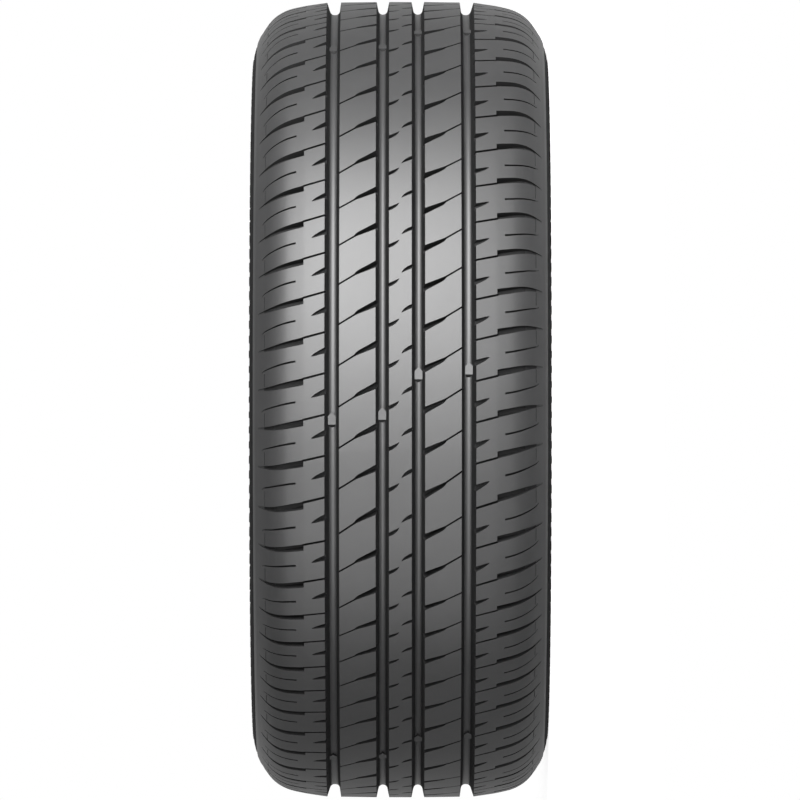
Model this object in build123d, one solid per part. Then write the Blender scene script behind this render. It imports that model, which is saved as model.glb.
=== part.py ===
from build123d import *
import os
from math import cos, floor, radians, sin, sqrt, tan

# Car tyre, moulded in one piece and lying on its side. The axle is the Z axis, and the origin is
# the middle of the tyre. Lengths are millimetres and angles are degrees.
# "Across" is the distance along the axle from the middle of the tread. "Along" is the place round
# the tread, counted in pitches: a pitch is one repeat of the tread pattern. A "slope" is how far
# the contour has turned from straight across towards the axle.

# Main sizes
OVERALL_DIAMETER = 632.0
SECTION_WIDTH = 233.0
BEAD_DIAMETER = 404.6
RIM_WIDTH = 178.0

# Outer contour: insets are from the widest part of the sidewall, and drops are from the tread's top
CROWN_RADIUS = 2000.0
SHOULDER_INSET = 43.1
SHOULDER_DROP = 1.9
CORNER_INSET = 18.2
CORNER_DROP = 11.3
CORNER_SLOPE = 44.0
# flat band at the widest part, centred at this share of the way from the bead to the tread
WIDEST_SHARE = 0.5
BAND_WIDTH = 24.0
# edge of the rim's flange, from which the bead's face goes down to the heel
FLANGE_HEIGHT = 19.0
FLANGE_OVERHANG = 8.0
FLANGE_SLOPE = 140.0
# a curved stretch of the contour is this many straight runs, so that the solid stays light
RUNS = 2

# Casing and beads
CROWN_THICKNESS = 18.0
SIDEWALL_THICKNESS = 9.5
LINER_CHAMFER = 14.5
LINER_KNEE_HEIGHT = 45.0
BEAD_WIDTH = 20.0
HEEL_CHAMFER = 5.0

# Four main grooves, two on each side of the centre rib, with the draft of each rib's walls
GROOVE_DEPTH = 10.0
CENTRE_RIB_WIDTH = 17.7
CENTRE_RIB_DRAFT = 11.5
INNER_GROOVE_WIDTH = 10.0
SECOND_RIB_WIDTH = 28.2
SECOND_RIB_INNER_DRAFT = 0.0
SECOND_RIB_OUTER_DRAFT = 7.5
OUTER_GROOVE_WIDTH = 11.0
SHOULDER_DRAFT = 17.5

# Pitches: three lengths in a mixed order, so that the tread doesn't hum on one note
PITCH_LENGTHS = {"S": 4.7, "M": 5.75, "L": 6.5}
PITCH_ORDER = "MSSSSSMMLMMMMMMMMLLLLLSSSMLLMSSMLLMSSSMLLMSSMLLMSSMLLMSSLMLMSSLM"
PITCH_START = -149.7
# the pattern's second half is its first half turned about the middle of the tread, then moved
# this many degrees round the axle
HALF_SHIFT = 2.45

# Slanted slots in the second ribs, open to the inner grooves and narrowing to a point: the tip's
# place, the rise to the mouth and the mouth's width are in pitches
RIB_SLOT_DEPTH = 7.0
RIB_SLOT_LENGTH = 18.5
RIB_SLOT_TIP = 0.18
RIB_SLOT_RISE = 0.245
RIB_SLOT_WIDTH = 0.175

# Slanted slots in the shoulders, with a floor that comes up to the surface at the outer end: the
# place of the inner end's low edge, the fall to the outer end and the width are in pitches
SHOULDER_SLOT_DEPTH = 6.0
SHOULDER_SLOT_MARGIN = 0.8
SHOULDER_SLOT_LOW = -0.45
SHOULDER_SLOT_FALL = 0.155
SHOULDER_SLOT_WIDTH = 0.135

# How far a cutter stands past the surface that it opens through
CLEARANCE = 3.0

overall_radius = OVERALL_DIAMETER / 2
half_width = SECTION_WIDTH / 2
bead_radius = BEAD_DIAMETER / 2
half_rim = RIM_WIDTH / 2
inner_groove = CENTRE_RIB_WIDTH / 2
second_rib = inner_groove + INNER_GROOVE_WIDTH
outer_groove = second_rib + SECOND_RIB_WIDTH
shoulder = outer_groove + OUTER_GROOVE_WIDTH

# Corners of the shoulder's contour, as (radius, across)
shoulder_point = (overall_radius - SHOULDER_DROP, half_width - SHOULDER_INSET)
corner_point = (overall_radius - CORNER_DROP, half_width - CORNER_INSET)


def crown(across):
    """Radius of the tread surface, which is level over the centre rib and falls away beyond it."""
    beyond = max(across - inner_groove, 0)
    return overall_radius - CROWN_RADIUS + sqrt(CROWN_RADIUS**2 - beyond**2)


def groove(start, end, start_draft, end_draft):
    """Walls and floor of a main groove."""
    bottom = crown(start) - GROOVE_DEPTH
    return Polyline(
        (crown(start), start),
        (bottom, start + GROOVE_DEPTH * tan(radians(start_draft))),
        (bottom, end - GROOVE_DEPTH * tan(radians(end_draft))),
        (crown(end), end),
    )


def heading(slope):
    """Direction of a contour with this slope."""
    return (-sin(radians(slope)), cos(radians(slope)))


def runs(*knots):
    """Straight runs that follow a smooth curve through (radius, across, slope) knots."""
    points = []
    for (radius, across, slope), (next_radius, next_across, next_slope) in zip(knots, knots[1:]):
        curve = Spline(
            (radius, across),
            (next_radius, next_across),
            tangents=[heading(slope), heading(next_slope)],
        )
        points += [curve @ (run / RUNS) for run in range(RUNS)]
    return Polyline(*points, knots[-1][:2])


def section():
    """Face of the whole section, with the radius along X and across along Y."""
    widest = bead_radius + WIDEST_SHARE * (overall_radius - bead_radius)
    band_top = (widest + BAND_WIDTH / 2, half_width)
    band_bottom = (widest - BAND_WIDTH / 2, half_width)
    flange = (bead_radius + FLANGE_HEIGHT, half_rim + FLANGE_OVERHANG)
    toe = (bead_radius, half_rim - BEAD_WIDTH)
    upper_wall = runs((*corner_point, CORNER_SLOPE), (*band_top, 90))
    lower_wall = runs((*band_bottom, 90), (*flange, FLANGE_SLOPE))
    bead = Polyline(
        flange,
        (bead_radius + HEEL_CHAMFER, half_rim),
        (bead_radius, half_rim - HEEL_CHAMFER),
        toe,
    )
    inner_crown = overall_radius - CROWN_THICKNESS
    inner_side = half_width - SIDEWALL_THICKNESS
    liner = Polyline(
        (inner_crown, inner_side - LINER_CHAMFER),
        (inner_crown - LINER_CHAMFER, inner_side),
        (bead_radius + LINER_KNEE_HEIGHT, inner_side),
        toe,
    )
    # the slotted bands are straight Bezier curves, in which slots take fewer facets than in a cone
    side = [
        groove(inner_groove, second_rib, CENTRE_RIB_DRAFT, SECOND_RIB_INNER_DRAFT),
        Bezier((crown(second_rib), second_rib), (crown(outer_groove), outer_groove)),
        groove(outer_groove, shoulder, SECOND_RIB_OUTER_DRAFT, SHOULDER_DRAFT),
        Line((crown(shoulder), shoulder), shoulder_point),
        Bezier(shoulder_point, corner_point),
        upper_wall,
        Line(band_top, band_bottom),
        lower_wall,
        bead,
        liner,
    ]
    other_side = [mirror(line, Plane.XZ) for line in side]
    centre_rib = Line((overall_radius, -inner_groove), (overall_radius, inner_groove))
    inside = Line(liner @ 0, mirror(liner, Plane.XZ) @ 0)
    return make_face([centre_rib, *side, *other_side, inside])


pitch_scale = 360 / sum(PITCH_LENGTHS[letter] for letter in PITCH_ORDER)
pitch_angles = [PITCH_LENGTHS[letter] * pitch_scale for letter in PITCH_ORDER]


def angle_at(along):
    """Angle round the axle of a place along the tread."""
    turns, pitch = divmod(floor(along), len(pitch_angles))
    return PITCH_START + 360 * turns + sum(pitch_angles[:pitch]) + (along % 1) * pitch_angles[pitch]


def cutter(pitch, half, outline, floor_start, floor_end, depth):
    """Cutter for one slot, on the half of the tread towards +Z or -Z.

    The outline is a list of (across, along) corners. The floor is flat, and runs from one
    (radius, across) point to another.
    """
    if half > 0:
        angles = [angle_at(pitch + along) for across, along in outline]
    else:
        angles = [angle_at(pitch - along) + HALF_SHIFT for across, along in outline]
    middle = (min(angles) + max(angles)) / 2
    outward = Vector(1, 0, 0).rotate(Axis.Z, middle)
    ahead = outward.rotate(Axis.Z, 90) * half
    (radius, start), (end_radius, end) = floor_start, floor_end
    along_floor = outward * (end_radius - radius) + Vector(0, 0, half * (end - start))
    stretch = along_floor.length / (end - start)
    corners = [
        (half * radius * tan(radians(angle - middle)), (across - start) * stretch)
        for (across, along), angle in zip(outline, angles)
    ]
    origin = outward * radius + Vector(0, 0, half * start)
    floor_plane = Plane(origin, x_dir=ahead, z_dir=ahead.cross(along_floor))
    return extrude(floor_plane * make_face(Polyline(*corners, close=True)), depth + CLEARANCE)


def rib_slot(pitch, half):
    """Slot from the inner groove towards the outer one."""
    mouth = second_rib - CLEARANCE
    tip = second_rib + RIB_SLOT_LENGTH
    growth = (tip - mouth) / RIB_SLOT_LENGTH
    low = RIB_SLOT_TIP + RIB_SLOT_RISE * growth
    outline = [(tip, RIB_SLOT_TIP), (mouth, low), (mouth, low + RIB_SLOT_WIDTH * growth)]
    floor_radius = overall_radius - RIB_SLOT_DEPTH
    return cutter(pitch, half, outline, (floor_radius, mouth), (floor_radius, tip), RIB_SLOT_DEPTH)


def on_line(start, end, across):
    """Radius at this place across, on the line between two (radius, across) points."""
    share = (across - start[1]) / (end[1] - start[1])
    return start[0] + share * (end[0] - start[0])


def shoulder_slot(pitch, half):
    """Slot down the shoulder, deepest at its inner end."""
    inner = shoulder_point[1] + SHOULDER_SLOT_MARGIN
    outer = corner_point[1] - SHOULDER_SLOT_MARGIN
    outer_low = SHOULDER_SLOT_LOW - SHOULDER_SLOT_FALL
    outline = [
        (inner, SHOULDER_SLOT_LOW),
        (outer, outer_low),
        (outer, outer_low + SHOULDER_SLOT_WIDTH),
        (inner, SHOULDER_SLOT_LOW + SHOULDER_SLOT_WIDTH),
    ]
    deep = (on_line(shoulder_point, corner_point, inner) - SHOULDER_SLOT_DEPTH, inner)
    surface = (on_line(shoulder_point, corner_point, outer), outer)
    return cutter(pitch, half, outline, deep, surface, SHOULDER_SLOT_DEPTH)


pitches = range(len(PITCH_ORDER))
slots = [slot(pitch, half) for slot in (rib_slot, shoulder_slot) for pitch in pitches for half in (1, -1)]
tyre = revolve(Plane.XZ * section(), Axis.Z) - slots

os.makedirs("parts", exist_ok=True)
export_step(tyre, "parts/tyre.step")
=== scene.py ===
from math import atan2, copysign, cos, dist, floor, hypot, pi, radians, sin, sqrt, tan

import bmesh
import bpy
from mathutils import Matrix, Vector


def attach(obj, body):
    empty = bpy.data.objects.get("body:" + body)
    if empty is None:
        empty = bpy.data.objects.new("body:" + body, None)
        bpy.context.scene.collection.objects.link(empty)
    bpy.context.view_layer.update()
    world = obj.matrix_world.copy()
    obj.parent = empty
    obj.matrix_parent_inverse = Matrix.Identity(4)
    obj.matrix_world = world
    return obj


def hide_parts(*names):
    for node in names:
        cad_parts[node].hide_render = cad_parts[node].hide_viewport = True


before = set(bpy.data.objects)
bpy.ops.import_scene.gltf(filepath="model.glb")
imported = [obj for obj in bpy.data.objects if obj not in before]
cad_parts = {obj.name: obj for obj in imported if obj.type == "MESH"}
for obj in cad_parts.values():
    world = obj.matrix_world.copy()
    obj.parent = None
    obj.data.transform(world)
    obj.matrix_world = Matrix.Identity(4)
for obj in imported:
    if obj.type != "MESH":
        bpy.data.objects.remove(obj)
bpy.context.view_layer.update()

# Car tyre, moulded in one piece and lying on its side. The axle is the Z axis, and the origin is
# the middle of the tyre. Lengths of the tyre are millimetres until a mesh is made.
# "Across" is the distance along the axle from the middle of the tread. "Along" is the place round
# the tread, counted in pitches: a pitch is one repeat of the tread pattern. A "slope" is how far
# the contour has turned from straight across towards the axle, in degrees.
MM = 0.001

# Sizes from the part's source
OVERALL_DIAMETER = 632.0
SECTION_WIDTH = 233.0
BEAD_DIAMETER = 404.6
RIM_WIDTH = 178.0
CROWN_RADIUS = 2000.0
BAND_WIDTH = 24.0
FLANGE_HEIGHT = 19.0
FLANGE_OVERHANG = 8.0
FLANGE_SLOPE = 140.0
CROWN_THICKNESS = 18.0
SIDEWALL_THICKNESS = 9.5
LINER_KNEE_HEIGHT = 45.0
BEAD_WIDTH = 20.0
GROOVE_DEPTH = 10.0
CENTRE_RIB_WIDTH = 17.7
INNER_GROOVE_WIDTH = 10.0
SECOND_RIB_WIDTH = 28.2
OUTER_GROOVE_WIDTH = 11.0

# Radii, and places across, that follow from those sizes
overall_radius = OVERALL_DIAMETER / 2
half_width = SECTION_WIDTH / 2
bead_radius = BEAD_DIAMETER / 2
half_rim = RIM_WIDTH / 2
inner_groove = CENTRE_RIB_WIDTH / 2
second_rib = inner_groove + INNER_GROOVE_WIDTH
outer_groove = second_rib + SECOND_RIB_WIDTH
shoulder = outer_groove + OUTER_GROOVE_WIDTH
groove_places = ((inner_groove, second_rib), (outer_groove, shoulder))
flange = (bead_radius + FLANGE_HEIGHT, half_rim + FLANGE_OVERHANG)

# Pitches from the part's source: three lengths in a mixed order. The pattern's second half is its
# first half turned about the middle of the tread, then moved this many degrees round the axle
PITCH_LENGTHS = {"S": 4.7, "M": 5.75, "L": 6.5}
PITCH_ORDER = "MSSSSSMMLMMMMMMMMLLLLLSSSMLLMSSMLLMSSSMLLMSSMLLMSSMLLMSSLMLMSSLM"
PITCH_START = -149.7
HALF_SHIFT = 2.45

# How finely the tyre is drawn: steps round the axle, in an arc and in a stretch of a curve
SEGMENTS = 208
ARC_STEPS = 4
CURVE_STEPS = 5
# the skin that cuts follow: a step across the crown, and steps in a stretch of the shoulder
CROWN_STEP = 2
SKIN_STEPS = 24

# Drafts of the walls of each main groove, in degrees, from the middle of the tread outward
INNER_GROOVE_DRAFTS = (11.5, 11.5)
OUTER_GROOVE_DRAFTS = (7.5, 17.5)

# Roundings that the mould leaves
RIB_EDGE = 0.35
GROOVE_FLOOR = 3.4
HEEL_ROUNDING = 6.0
TOE_ROUNDING = 2.0
KNEE_ROUNDING = 30.0
LINER_ROUNDING = 24.0
# the bead's face would meet its seat this far inside the rim's width
HEEL_INSET = 2.9
# a stretch of rib beside a groove, which only gives the edge's rounding its direction
EDGE_STRETCH = 1.0

# Outer skin: (radius, across, slope) knots down the shoulder, then a straight band at the widest
# part, inset so that the rings have room to stand on it
SHOULDER_SLOPE = 8.0
SHOULDER_KNOTS = [
    (313.4, 72.0, 8.6),
    (311.9, 80.0, 11.7),
    (310.5, 86.0, 15.2),
    (308.3, 92.0, 25.4),
    (304.7, 98.0, 36.9),
    (298.7, 104.0, 52.5),
]
BAND_SLOPE = 90.0
BAND_INSET = 1.1

# Rings moulded on the sidewall, as (radius, height over the skin)
SIDE_RINGS = [
    [(225.6, 0.0), (226.2, 0.5), (228.4, 0.5), (229.0, 0.0)],
    [(232.6, 0.0), (233.2, 0.5), (234.4, 0.5), (235.0, 0.0)],
    [
        (260.0, 0.0), (260.8, 0.7), (269.5, 0.7), (274.0, 0.5),
        (279.5, 0.1), (280.3, -0.2), (281.6, -0.2), (282.2, 0.0),
    ],
    [(283.0, 0.0), (283.8, 0.3), (288.6, 0.3), (291.2, 0.0)],
]

# Serrations: short radial ribs on the sidewall's widest ring. Each spreads this many degrees to both
# sides of its middle, and stands with its root inside the ring
SERRATIONS = 144
SERRATION_RADII = (261.6, 269.8)
SERRATION_TURN = 0.5
SERRATION_ROOT = 115.6

# Cuts in one pitch of the tread, as (across, low edge, width, depth), with the edge and the width in
# pitches. A cut that opens into a groove reaches this far into it
OVERRUN = 3.0
RIB_SLOT = [
    (outer_groove + OVERRUN, -0.083, 0.050, 6.0),
    (outer_groove, -0.024, 0.050, 6.0),
    (35.4, 0.206, 0.051, 6.0),
    (34.2, 0.228, 0.080, 7.0),
    (32.5, 0.252, 0.100, 7.0),
    (30.0, 0.284, 0.115, 7.0),
    (24.5, 0.353, 0.142, 7.0),
    (second_rib, 0.425, 0.175, 7.0),
    (second_rib - OVERRUN, 0.463, 0.190, 7.0),
]
CENTRE_NOTCH = [
    (inner_groove + OVERRUN, -0.150, 0.140, 4.0),
    (inner_groove, -0.075, 0.100, 3.5),
    (6.0, -0.035, 0.100, 3.0),
    (3.3, 0.026, 0.080, 2.0),
    (1.9, 0.075, 0.052, 1.2),
    (0.9, 0.130, 0.012, 0.4),
]
SHOULDER_NOTCH = [
    (shoulder - OVERRUN, 0.315, 0.180, 4.5),
    (shoulder, 0.287, 0.148, 4.0),
    (61.5, 0.262, 0.116, 3.2),
    (65.5, 0.226, 0.077, 2.0),
    (68.1, 0.217, 0.015, 0.5),
]
SHOULDER_SIPE = [
    (shoulder - OVERRUN, -0.2072, 0.056, 4.0),
    (shoulder, -0.220, 0.056, 4.0),
    (66.0, -0.284, 0.056, 4.0),
    (75.0, -0.356, 0.056, 4.0),
]
SHOULDER_SLOT = [
    (74.2, -0.476, 0.172, 6.0),
    (78.0, -0.502, 0.170, 5.6),
    (83.0, -0.529, 0.164, 5.0),
    (88.0, -0.559, 0.155, 4.2),
    (93.0, -0.585, 0.140, 3.2),
    (97.0, -0.602, 0.120, 2.4),
    (101.0, -0.608, 0.092, 1.6),
    (105.0, -0.611, 0.066, 0.9),
    (109.0, -0.613, 0.040, 0.2),
]
LONG_SIPE = [
    (80.2, 0.080, 0.050, 3.5),
    (84.0, 0.062, 0.050, 3.5),
    (88.0, 0.036, 0.049, 3.2),
    (93.0, -0.002, 0.045, 2.8),
    (98.0, -0.047, 0.037, 2.2),
    (102.0, -0.088, 0.032, 1.4),
    (104.5, -0.120, 0.028, 0.8),
    (106.0, -0.161, 0.023, 0.3),
]
SHOULDER_CREASE = [
    (103.6, -0.520, 0.340, 0.3),
    (104.2, -0.520, 0.340, 0.3),
]
# how far a cutter stands past the skin
CUTTER_HEIGHT = 2.0
# how much the walls of slots and notches lean, in pitches for each millimetre of depth, and the
# most that a wall leans over its floor, as a share of the cut's width
CUT_DRAFT = 0.006
MOST_LEAN = 0.28

# Wear bars: small blocks on the groove floors, with a point at one end and a ramp at the other. For
# each groove: the place across and the angle of the first bar, in degrees round the axle
INNER_BARS = (13.85, -91.98)
OUTER_BARS = (52.5, -92.67)
# the first bar of the half towards -Z is the other half's first bar turned about this angle
WEAR_BAR_TURN = -89.09
# angles from the first bar to each bar of the groove
WEAR_BAR_STEPS = (0.0, 66.0, 123.75, 181.5, 239.25, 297.0)
WEAR_BAR_HEIGHT = 1.6
WEAR_BAR_ROOT = 1.5
# outlines of a bar's top and foot, as (across, distance round the axle) from its centre
WEAR_BAR_TOP = [(-2.95, -4.75), (2.95, -4.75), (2.95, 1.45), (0.0, 4.75), (-2.95, 1.45)]
WEAR_BAR_FOOT = [(-0.75, -9.0), (0.75, -9.0), (2.95, 1.45), (0.0, 4.75), (-2.95, 1.45)]

# An edge that bends by more than this many degrees is kept sharp
SHARP_BEND = 32.0
# The tread and the shoulders are shaded as the skin where a corner lies within this depth of it and
# the face looks straight out of it, by at least this cosine
SKIN_DEPTH = 0.15
SKIN_FACING = 0.99

# Rubbers and painted shades, as (name, dark tone, light tone, roughness, shine), in the order of the
# material slots.
# The recesses' entry is painted shade: darker rubber where shade falls in the cuts
RUBBERS_AND_SHADES = [
    ("tread_rubber", 0.040, 0.050, 0.52, 0.15),
    # the sidewall's own duller rubber, which also paints half shade on the floors of cuts
    ("side_rubber_and_cut_shade", 0.030, 0.038, 0.75, 0.012),
    # painted shade: darker rubber on the walls, edges and deep floors of the cuts, where shade falls
    ("recess_painted_shade", 0.016, 0.021, 0.7, 0.04),
]
TREAD, SIDE_AND_CUT_SHADE, RECESS_SHADE = range(3)
# blue beside red and green
BLUER = 1.02
# soft mottle between the two tones
MOTTLE_SCALE = 22
MOTTLE_DETAIL = 6
MOTTLE_RANGE = (0.3, 0.7)
# fine moulded grain, with its height in metres
GRAIN_SCALE = 1400
GRAIN_DETAIL = 2
GRAIN_STRENGTH = 0.12
GRAIN_HEIGHT = 0.0004

# The sidewall's rubber is below this radius, and on the liner, which is deeper than any groove
SIDE_RADIUS = 281.0
LINER_DEPTH = 11.5
# A face that is less deep than this is on the skin, or is a cut's edge, painted with the recesses' shade,
# if its cosine to the skin's normal is under the second value
SKIN_RELIEF = 0.8
EDGE_FACING = 0.5
# A deeper face is a wall, painted with the recesses' shade, if that cosine is under this, or else a floor
FLOOR_FACING = 0.82
# Depths from which a cut's floor has the sidewall's darker rubber as painted half shade, and from which
# it has the recesses' painted shade, in the shoulders and in the ribs
SHALLOW_FLOOR = 1.2
SHOULDER_DEEP = 2.8
RIB_DEEP = 5.5
# A cut's floor that reaches into a groove is less deep than this, and has the sidewall's darker rubber as
# painted shade
LIP_DEPTH = 8.0

# Studio, in metres: strength of the surroundings' light, and the floor's half size and looks
FILL = 0.1
FLOOR_REACH = 3.5
FLOOR_TONE = 0.8
FLOOR_ROUGHNESS = 0.9
FLOOR_GLOW = 0.8
# Lamps, as (name, place, length, width, watts): the key lights everything, and the strips only give
# the sheen along the tread
KEY = ("key", (1.8, -2.4, 0.7), 1.4, 1.4, 60)
STRIPS = [
    ("strip_high", (1.68, -2.49, 0.38), 3.6, 0.5, 1450),
    ("strip_low", (-1.41, -2.65, 0.38), 3.2, 0.5, 300),
]

# Camera: its distance in overall radii, the width of the picture and the tyre's radius in pixels,
# and how far the camera is off the middle, down and to the left
CAMERA_DISTANCE = 25
SENSOR_WIDTH = 36
PICTURE_PIXELS = 800
RADIUS_PIXELS = 397.3
CAMERA_SHIFT = 0.3


def crown(across):
    """Radius of the tread surface, which is level over the centre rib and falls away beyond it."""
    beyond = max(across - inner_groove, 0)
    return overall_radius - CROWN_RADIUS + sqrt(CROWN_RADIUS**2 - beyond**2)


def heading(slope):
    """Direction of a contour with this slope, as (radius, across)."""
    return -sin(radians(slope)), cos(radians(slope))


def cubic(start, end, start_pull, end_pull, t):
    """Value at this share of a cubic stretch, from its ends and its pulls there."""
    return (
        (2 * t**3 - 3 * t**2 + 1) * start
        + (t**3 - 2 * t**2 + t) * start_pull
        + (-2 * t**3 + 3 * t**2) * end
        + (t**3 - t**2) * end_pull
    )


def curve(knots, steps):
    """Points on a smooth curve through (radius, across, slope) knots, with that many steps a stretch."""
    points = []
    for (*start, start_slope), (*end, end_slope) in zip(knots, knots[1:]):
        reach = dist(start, end)
        start_pull = [reach * part for part in heading(start_slope)]
        end_pull = [reach * part for part in heading(end_slope)]
        values = list(zip(start, end, start_pull, end_pull))
        for step in range(steps):
            points.append(tuple(cubic(*value, step / steps) for value in values))
    return points + [knots[-1][:2]]


def rounded(corners):
    """Path through (radius, across, rounding) corners, with an arc at each corner that has a rounding."""
    path = []
    for i, (radius, across, rounding) in enumerate(corners):
        if not rounding:
            path.append((radius, across))
            continue
        corner = Vector((radius, across))
        back = (Vector(corners[i - 1][:2]) - corner).normalized()
        ahead = (Vector(corners[i + 1][:2]) - corner).normalized()
        half_angle = back.angle(ahead) / 2
        centre = corner + (back + ahead).normalized() * rounding / sin(half_angle)
        start = corner + back * rounding / tan(half_angle) - centre
        end = corner + ahead * rounding / tan(half_angle) - centre
        turn = start.angle_signed(end)
        for step in range(ARC_STEPS + 1):
            point = centre + Matrix.Rotation(-turn * step / ARC_STEPS, 2) @ start
            path.append((point.x, point.y))
    return path


def between(table, x):
    """Straight-line reading of a table of (x, y) points with x rising, held at its ends."""
    if x <= table[0][0]:
        return table[0][1]
    for (x0, y0), (x1, y1) in zip(table, table[1:]):
        if x <= x1:
            return y0 + (x - x0) / (x1 - x0) * (y1 - y0)
    return table[-1][1]


# Knots of the outer skin above and below the band, and points on it from the crown to the band
widest = (bead_radius + overall_radius) / 2
wall = half_width - BAND_INSET
shoulder_start = (crown(shoulder), shoulder, SHOULDER_SLOPE)
upper_knots = [shoulder_start, *SHOULDER_KNOTS, (widest + BAND_WIDTH / 2, wall, BAND_SLOPE)]
lower_knots = [(widest - BAND_WIDTH / 2, wall, BAND_SLOPE), (*flange, FLANGE_SLOPE)]
crown_points = [(crown(across), float(across)) for across in range(0, int(shoulder), CROWN_STEP)]
skin_points = crown_points + curve(upper_knots, SKIN_STEPS)


def outer_wall():
    """Outer skin from the shoulder to the flange, with its rings."""
    skin = curve(upper_knots, CURVE_STEPS)[1:] + curve(lower_knots, CURVE_STEPS)[:-1]
    plain = [
        (radius, across) for radius, across in skin
        if not any(ring[0][0] <= radius <= ring[-1][0] for ring in SIDE_RINGS)
    ]
    places = sorted(skin)
    rings = [(radius, between(places, radius) + height) for ring in SIDE_RINGS for radius, height in ring]
    return sorted(plain + rings, reverse=True)


def groove(start, end, start_draft, end_draft):
    """Walls and rounded floor of a main groove."""
    bottom = crown(start) - GROOVE_DEPTH
    return rounded([
        (crown(start), start - EDGE_STRETCH, 0),
        (crown(start), start, RIB_EDGE),
        (bottom, start + GROOVE_DEPTH * tan(radians(start_draft)), GROOVE_FLOOR),
        (bottom, end - GROOVE_DEPTH * tan(radians(end_draft)), GROOVE_FLOOR),
        (crown(end), end, RIB_EDGE),
        (crown(end), end + EDGE_STRETCH, 0),
    ])[1:-1]


def half_profile():
    """Section of the +Z half, from the middle of the tread round to the middle of the liner."""
    inner_crown = overall_radius - CROWN_THICKNESS
    inner_side = half_width - SIDEWALL_THICKNESS
    inside = rounded([
        (*flange, 0),
        (bead_radius, half_rim - HEEL_INSET, HEEL_ROUNDING),
        (bead_radius, half_rim - BEAD_WIDTH, TOE_ROUNDING),
        (bead_radius + LINER_KNEE_HEIGHT, inner_side, KNEE_ROUNDING),
        (inner_crown, inner_side, LINER_ROUNDING),
        (inner_crown, 0, 0),
    ])
    return [
        (overall_radius, 0.0),
        *groove(inner_groove, second_rib, *INNER_GROOVE_DRAFTS),
        *groove(outer_groove, shoulder, *OUTER_GROOVE_DRAFTS),
        *outer_wall(),
        *inside,
    ]


def add_object(name, verts, faces):
    """Mesh object from points in millimetres."""
    mesh = bpy.data.meshes.new(name)
    mesh.from_pydata([tuple(length * MM for length in point) for point in verts], [], faces)
    mesh.validate()
    obj = bpy.data.objects.new(name, mesh)
    bpy.context.scene.collection.objects.link(obj)
    face_outward(obj)
    return obj


def face_outward(obj):
    """Turns all faces of closed shells outward."""
    bm = bmesh.new()
    bm.from_mesh(obj.data)
    bmesh.ops.recalc_face_normals(bm, faces=bm.faces)
    if bm.calc_volume(signed=True) < 0:
        bmesh.ops.reverse_faces(bm, faces=bm.faces)
    bm.to_mesh(obj.data)
    bm.free()


def around(radius, angle, across):
    """Point at this angle round the axle, in radians."""
    return radius * cos(angle), radius * sin(angle), across


def turned(name, loop):
    """Closed ring mesh from a closed loop of (radius, across) points."""
    verts, faces = [], []
    count = len(loop)
    for segment in range(SEGMENTS):
        angle = 2 * pi * segment / SEGMENTS
        verts += [around(radius, angle, across) for radius, across in loop]
        here, there = segment * count, (segment + 1) % SEGMENTS * count
        for i in range(count):
            j = (i + 1) % count
            faces.append((here + i, there + i, there + j, here + j))
    return add_object(name, verts, faces)


def add_tube(verts, faces, rings):
    """Adds the points and faces of a closed tube, given as rings with as many points each."""
    base, sides = len(verts), len(rings[0])
    end = base + sides * (len(rings) - 1)
    for ring in rings:
        verts.extend(ring)
    for start in range(base, end, sides):
        for k in range(sides):
            here, beside = start + k, start + (k + 1) % sides
            faces.append((here, beside, beside + sides, here + sides))
    faces.append(tuple(range(base, base + sides)))
    faces.append(tuple(range(end + sides - 1, end - 1, -1)))


pitch_scale = 360 / sum(PITCH_LENGTHS[letter] for letter in PITCH_ORDER)
pitch_angles = [PITCH_LENGTHS[letter] * pitch_scale for letter in PITCH_ORDER]


def angle_at(along):
    """Angle round the axle of a place along the tread."""
    turns, pitch = divmod(floor(along), len(pitch_angles))
    return PITCH_START + 360 * turns + sum(pitch_angles[:pitch]) + (along % 1) * pitch_angles[pitch]


def skin_at(across):
    """Radius of the outer skin and its slope in radians."""
    for (radius, start), (end_radius, end) in zip(skin_points, skin_points[1:]):
        if across <= end:
            share = (across - start) / (end - start)
            return radius + share * (end_radius - radius), atan2(radius - end_radius, end - start)
    return skin_points[-1][0], pi / 2


def on_skin(half, pitch, across, along, height):
    """Point above or below the skin, on the half of the tread towards +Z or -Z."""
    radius, slope = skin_at(across)
    angle = angle_at(pitch + along) if half > 0 else angle_at(pitch - along) + HALF_SHIFT
    return around(radius + height * cos(slope), radians(angle), half * (across + height * sin(slope)))


def cutters(name, *tables, draft=0.0):
    """One mesh of closed cutters, from tables of (across, low edge, width, depth), in every pitch.

    The draft is how much each wall leans, in pitches for each millimetre of depth.
    """
    verts, faces = [], []
    for pitch in range(len(PITCH_ORDER)):
        for half in (1, -1):
            for table in tables:
                rings = []
                for across, low, width, depth in table:
                    lean = min(draft, MOST_LEAN * width / depth)
                    corners = [
                        (low - lean * CUTTER_HEIGHT, CUTTER_HEIGHT),
                        (low + width + lean * CUTTER_HEIGHT, CUTTER_HEIGHT),
                        (low + width - lean * depth, -depth),
                        (low + lean * depth, -depth),
                    ]
                    rings.append([
                        on_skin(half, pitch, across, along, height)
                        for along, height in corners
                    ])
                add_tube(verts, faces, rings)
    return add_object(name, verts, faces)


def wear_bars():
    """All the wear bars as one mesh of closed blocks."""
    verts, faces = [], []
    for edge, (across, first) in ((inner_groove, INNER_BARS), (outer_groove, OUTER_BARS)):
        bottom = crown(edge) - GROOVE_DEPTH
        levels = ((bottom - WEAR_BAR_ROOT, WEAR_BAR_FOOT), (bottom + WEAR_BAR_HEIGHT, WEAR_BAR_TOP))
        for half in (1, -1):
            for step in WEAR_BAR_STEPS:
                centre = radians(step + (first if half > 0 else 2 * WEAR_BAR_TURN - first))
                rings = []
                for radius, outline in levels:
                    rings.append([
                        around(radius, centre + ahead / bottom, half * (across + side))
                        for side, ahead in outline
                    ])
                add_tube(verts, faces, rings)
    return add_object("wear_bars", verts, faces)


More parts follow.
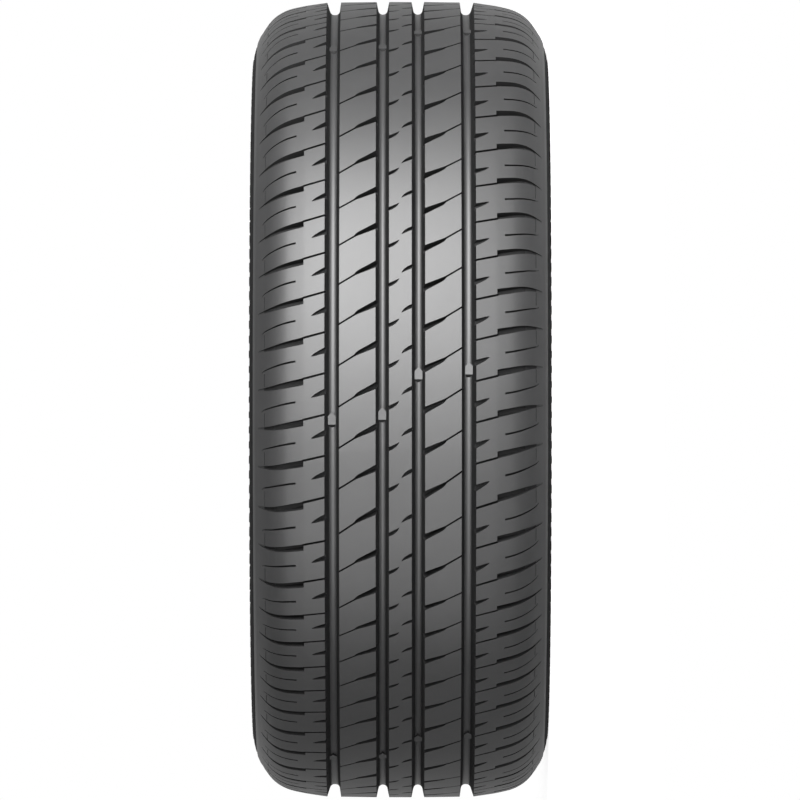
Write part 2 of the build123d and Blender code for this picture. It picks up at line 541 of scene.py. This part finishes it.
def serrations():
    """All the serrations of both sidewalls as one mesh of closed blocks."""
    verts, faces = [], []
    low, high = SERRATION_RADII
    back, ahead = -SERRATION_TURN, SERRATION_TURN
    outline = [(low, back), (high, back), (high, ahead), (low, ahead)]
    for half in (1, -1):
        for k in range(SERRATIONS):
            centre = 360 * k / SERRATIONS
            rings = []
            for across in (SERRATION_ROOT, half_width):
                rings.append([
                    around(radius, radians(centre + turn), half * across)
                    for radius, turn in outline
                ])
            add_tube(verts, faces, rings)
    return add_object("serrations", verts, faces)


def join(target, tool, operation):
    """Cuts the tool out of the target, or adds it on, and removes the tool."""
    modifier = target.modifiers.new("join", "BOOLEAN")
    modifier.operation = operation
    modifier.solver = "MANIFOLD"
    modifier.object = tool
    bpy.context.view_layer.objects.active = target
    bpy.ops.object.modifier_apply(modifier=modifier.name)
    bpy.data.objects.remove(tool)


def shade(obj):
    """Smooth shading, with the sharp edges kept."""
    bm = bmesh.new()
    bm.from_mesh(obj.data)
    # the cuts leave points in the middle of an edge, which would spoil the triangles
    bmesh.ops.dissolve_verts(bm, verts=[vert for vert in bm.verts if len(vert.link_edges) == 2])
    for face in bm.faces:
        face.smooth = True
    for edge in bm.edges:
        edge.smooth = len(edge.link_faces) == 2 and edge.calc_face_angle(0) < radians(SHARP_BEND)
    bm.to_mesh(obj.data)
    bm.free()


def skin_normal(point):
    """Direction straight out of the skin at this point."""
    slope = skin_at(abs(point.z))[1]
    outward = cos(slope) / hypot(point.x, point.y)
    return Vector((point.x * outward, point.y * outward, copysign(sin(slope), point.z)))


def smooth_skin(obj):
    """Gives the tread and the shoulders the skin's own normals, so that the cuts leave no marks."""
    mesh = obj.data
    normals = []
    for face in mesh.polygons:
        for index in face.vertices:
            point = mesh.vertices[index].co / MM
            normal = skin_normal(point)
            depth = skin_at(abs(point.z))[0] - hypot(point.x, point.y)
            on_it = abs(depth) < SKIN_DEPTH and normal.dot(face.normal) > SKIN_FACING
            normals.append(normal if on_it else Vector())
    mesh.normals_split_custom_set(normals)


def tyre_rubber():
    """The whole tyre: the turned section, with blocks added on and the tread's cuts taken out."""
    profile = half_profile()
    other_half = [(radius, -across) for radius, across in profile[-2:0:-1]]
    obj = turned("tyre_rubber", profile + other_half)
    join(obj, wear_bars(), "UNION")
    join(obj, serrations(), "UNION")
    join(obj, cutters("slots", RIB_SLOT, draft=CUT_DRAFT), "DIFFERENCE")
    join(obj, cutters("notches", CENTRE_NOTCH, SHOULDER_NOTCH, draft=CUT_DRAFT), "DIFFERENCE")
    join(obj, cutters("shoulder_slots", SHOULDER_SLOT, draft=CUT_DRAFT), "DIFFERENCE")
    join(obj, cutters("sipes", SHOULDER_SIPE, LONG_SIPE), "DIFFERENCE")
    join(obj, cutters("creases", SHOULDER_CREASE), "DIFFERENCE")
    shade(obj)
    smooth_skin(obj)
    return obj


def rubber(name, dark_tone, light_tone, roughness, shine):
    """Charcoal rubber with a soft mottle and a fine moulded grain; its tones also carry the painted shade
    of the cuts.
    """
    material = bpy.data.materials.new(name)
    material.use_nodes = True
    nodes, links = material.node_tree.nodes, material.node_tree.links
    shader = nodes["Principled BSDF"]
    place = nodes.new("ShaderNodeTexCoord")
    mottle = nodes.new("ShaderNodeTexNoise")
    mottle.inputs["Scale"].default_value = MOTTLE_SCALE
    mottle.inputs["Detail"].default_value = MOTTLE_DETAIL
    links.new(place.outputs["Object"], mottle.inputs["Vector"])
    ramp = nodes.new("ShaderNodeValToRGB")
    for stop, position, tone in zip(ramp.color_ramp.elements, MOTTLE_RANGE, (dark_tone, light_tone)):
        stop.position = position
        stop.color = (tone, tone, tone * BLUER, 1)
    links.new(mottle.outputs["Fac"], ramp.inputs["Fac"])
    links.new(ramp.outputs["Color"], shader.inputs["Base Color"])
    grain = nodes.new("ShaderNodeTexNoise")
    grain.inputs["Scale"].default_value = GRAIN_SCALE
    grain.inputs["Detail"].default_value = GRAIN_DETAIL
    links.new(place.outputs["Object"], grain.inputs["Vector"])
    bump = nodes.new("ShaderNodeBump")
    bump.inputs["Strength"].default_value = GRAIN_STRENGTH
    bump.inputs["Distance"].default_value = GRAIN_HEIGHT
    links.new(grain.outputs["Fac"], bump.inputs["Height"])
    links.new(bump.outputs["Normal"], shader.inputs["Normal"])
    shader.inputs["Roughness"].default_value = roughness
    shader.inputs["Specular IOR Level"].default_value = shine
    return material


def rubber_or_shade_on(face):
    """Slot of a face's rubber: glossier on the tread, duller on the sidewalls, and painted darker in the
    cuts as shade that deepens with depth.
    """
    centre = face.center / MM
    radius, across = hypot(centre.x, centre.y), abs(centre.z)
    depth = skin_at(across)[0] - radius
    if radius < SIDE_RADIUS or depth > LINER_DEPTH:
        return SIDE_AND_CUT_SHADE
    facing = skin_normal(centre).dot(face.normal)
    # cut edges, walls and deeper cut floors get painted shade, darker the deeper they lie
    if depth < SKIN_RELIEF:
        return TREAD if facing > EDGE_FACING else RECESS_SHADE
    if facing < FLOOR_FACING:
        return RECESS_SHADE
    # floors of cuts at a groove's lip get painted half shade; the groove's own floor keeps the tread's
    # rubber
    if any(start < across < end for start, end in groove_places):
        return SIDE_AND_CUT_SHADE if depth < LIP_DEPTH else TREAD
    # deeper cut floors get the recesses' painted shade, shallower ones the painted half shade
    if depth > (SHOULDER_DEEP if across > shoulder else RIB_DEEP):
        return RECESS_SHADE
    return SIDE_AND_CUT_SHADE if depth > SHALLOW_FLOOR else TREAD


def give_rubbers_and_shades(obj):
    """Gives each face of the tyre its rubber, with painted shade in the cuts."""
    mesh = obj.data
    mesh.materials.clear()
    for kind in RUBBERS_AND_SHADES:
        mesh.materials.append(rubber(*kind))
    for face in mesh.polygons:
        face.material_index = rubber_or_shade_on(face)


def seen_directly(nodes, links):
    """Socket that is 1 for rays from the camera, off gloss and through glass, and 0 for other rays."""
    path = nodes.new("ShaderNodeLightPath")
    total = path.outputs["Is Camera Ray"]
    for name in ("Is Glossy Ray", "Is Transmission Ray"):
        either = nodes.new("ShaderNodeMath")
        either.operation = "MAXIMUM"
        links.new(total, either.inputs[0])
        links.new(path.outputs[name], either.inputs[1])
        total = either.outputs["Value"]
    return total


def surroundings():
    """White surroundings that light the tyre only as much as the fill."""
    world = bpy.data.worlds.new("studio")
    bpy.context.scene.world = world
    world.use_nodes = True
    nodes, links = world.node_tree.nodes, world.node_tree.links
    background = nodes["Background"]
    level = nodes.new("ShaderNodeMapRange")
    level.inputs["To Min"].default_value = FILL
    level.inputs["To Max"].default_value = 1.0
    links.new(seen_directly(nodes, links), level.inputs["Value"])
    links.new(level.outputs["Result"], background.inputs["Strength"])
    background.inputs["Color"].default_value = (1, 1, 1, 1)


def studio_floor():
    """Pale floor under the tyre, which looks white but keeps the shadow."""
    low = -half_width * MM
    mesh = bpy.data.meshes.new("floor")
    corners = [(x * FLOOR_REACH, y * FLOOR_REACH, low) for x, y in ((-1, -1), (1, -1), (1, 1), (-1, 1))]
    mesh.from_pydata(corners, [], [(0, 1, 2, 3)])
    obj = bpy.data.objects.new("floor", mesh)
    bpy.context.scene.collection.objects.link(obj)
    material = bpy.data.materials.new("pale_floor")
    material.use_nodes = True
    nodes, links = material.node_tree.nodes, material.node_tree.links
    shader = nodes["Principled BSDF"]
    shader.inputs["Base Color"].default_value = (FLOOR_TONE, FLOOR_TONE, FLOOR_TONE, 1)
    shader.inputs["Roughness"].default_value = FLOOR_ROUGHNESS
    level = nodes.new("ShaderNodeMath")
    level.operation = "MULTIPLY"
    level.inputs[1].default_value = FLOOR_GLOW
    links.new(seen_directly(nodes, links), level.inputs[0])
    links.new(level.outputs["Value"], shader.inputs["Emission Strength"])
    shader.inputs["Emission Color"].default_value = (1, 1, 1, 1)
    mesh.materials.append(material)


def softbox(name, place, length, width, power):
    """Area lamp that faces the tyre, with its length square to the axle."""
    lamp = bpy.data.lights.new(name, "AREA")
    lamp.shape = "RECTANGLE"
    lamp.size = length
    lamp.size_y = width
    lamp.energy = power
    obj = bpy.data.objects.new(name, lamp)
    obj.location = place
    obj.rotation_euler = (-Vector(place)).to_track_quat("-Z", "Y").to_euler()
    bpy.context.scene.collection.objects.link(obj)
    return obj


def camera():
    """Camera square on to the tread; the picture's right is -Z and its top is +X."""
    distance = CAMERA_DISTANCE * overall_radius * MM
    shift = CAMERA_SHIFT * MM
    data = bpy.data.cameras.new("camera")
    data.sensor_width = SENSOR_WIDTH
    data.lens = SENSOR_WIDTH / PICTURE_PIXELS * RADIUS_PIXELS * CAMERA_DISTANCE
    obj = bpy.data.objects.new("camera", data)
    obj.matrix_world = Matrix(((0, 1, 0, -shift), (0, 0, -1, -distance), (-1, 0, 0, shift), (0, 0, 0, 1)))
    bpy.context.scene.collection.objects.link(obj)
    bpy.context.scene.camera = obj


tyre = tyre_rubber()
give_rubbers_and_shades(tyre)
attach(tyre, "root")
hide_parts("tyre")

surroundings()
studio_floor()
softbox(*KEY)
for strip in STRIPS:
    softbox(*strip).visible_diffuse = False
camera()
bpy.context.scene.view_settings.view_transform = "Standard"
